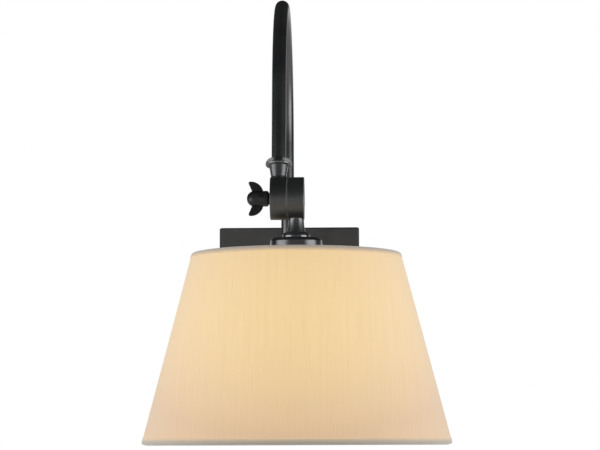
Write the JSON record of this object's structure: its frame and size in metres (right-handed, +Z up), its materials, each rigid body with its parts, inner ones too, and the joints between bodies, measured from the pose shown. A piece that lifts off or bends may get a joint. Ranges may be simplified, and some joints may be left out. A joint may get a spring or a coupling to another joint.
{
  "type": "wall lamp",
  "caption": "Wall-mounted pharmacy lamp: a gooseneck tube on a wall plate carries a tapered fabric shade on a knuckle clamped by a wing nut.",
  "frame": {"origin": "middle of the two wall-box slots of the mounting strap, on the wall plane", "axes": "+Y into the wall, +Z up, +X to the right as seen from the room"},
  "size_m": [0.2536, 0.419, 0.3901],
  "materials": {
    "bronze": "satin dark bronze",
    "zinc": "zinc plated",
    "bolt_steel": "black oxide",
    "ground_green": "green dyed",
    "cable_jacket": "matt",
    "fibre": "pressed fibre",
    "phenolic": "moulded",
    "brass": "pressed",
    "bulb_metal": "rolled thread",
    "bulb_frost": "frosted, lit",
    "shade_fabric": "slubbed weave, lit",
    "liner_styrene": "matt white",
    "frame_enamel": "white enamel",
    "trim_tape": "folded tape"
  },
  "bodies": {
    "wall_arm": {"backplate": "bronze", "mounting_strap": "zinc", "plate_studs": "zinc", "stud_nuts": "zinc", "cap_nuts": "bronze", "ground_screw": "ground_green", "arm_tube": "bronze", "arm_cable": "cable_jacket", "arm_nipple": "zinc", "lock_washer": "zinc", "lock_nut": "zinc", "arm_seat": "bronze", "arm_ferrule": "bronze", "arm_knuckle": "bronze", "friction_ring": "fibre"},
    "lamp_head": {"head_knuckle": "bronze", "pivot_bolt": "bolt_steel", "neck": "bronze", "neck_collar": "bronze", "socket_cup": "bronze", "socket_nipple": "zinc", "cup_nut": "zinc", "head_cable": "cable_jacket", "socket_body": "phenolic", "screw_shell": "brass", "centre_contact": "brass", "bulb_contact": "bulb_metal", "bulb_insulator": "phenolic", "bulb_cap": "bulb_metal", "bulb_glass": "bulb_frost", "shade_cover": "shade_fabric", "shade_liner": "liner_styrene", "top_wire": "frame_enamel", "bottom_wire": "frame_enamel", "shade_spokes": "frame_enamel", "shade_fitter": "frame_enamel", "top_trim": "trim_tape", "bottom_trim": "trim_tape", "shade_ring_nut": "phenolic"},
    "clamp": {"clamp_washer": "bolt_steel"},
    "wing": {"wing_nut": "bronze"},
    "key": {"switch_key": "phenolic"}
  },
  "joints": [
    {"name": "head_tilt", "type": "hinge", "parent": "wall_arm", "child": "lamp_head", "pos_m": [0, -0.29217, 0.05917], "axis": [-1, 0, 0], "range_deg": [-30, 90]},
    {"name": "clamp_release", "type": "slide", "parent": "wall_arm", "child": "clamp", "axis": [-1, 0, 0], "range_m": [0, 0.00127]},
    {"name": "wing_turn", "type": "hinge", "parent": "clamp", "child": "wing", "pos_m": [0, -0.29217, 0.05917], "axis": [-1, 0, 0], "range_deg": [0, 360]},
    {"name": "key_turn", "type": "hinge", "parent": "lamp_head", "child": "key", "pos_m": [0.0445, -0.29217, 0.00707], "axis": [1, 0, 0], "continuous": true}
  ],
  "couplings": [
    {"joint": "wing_turn", "follows": "clamp_release", "rad_per_m": 4947.4}
  ]
}
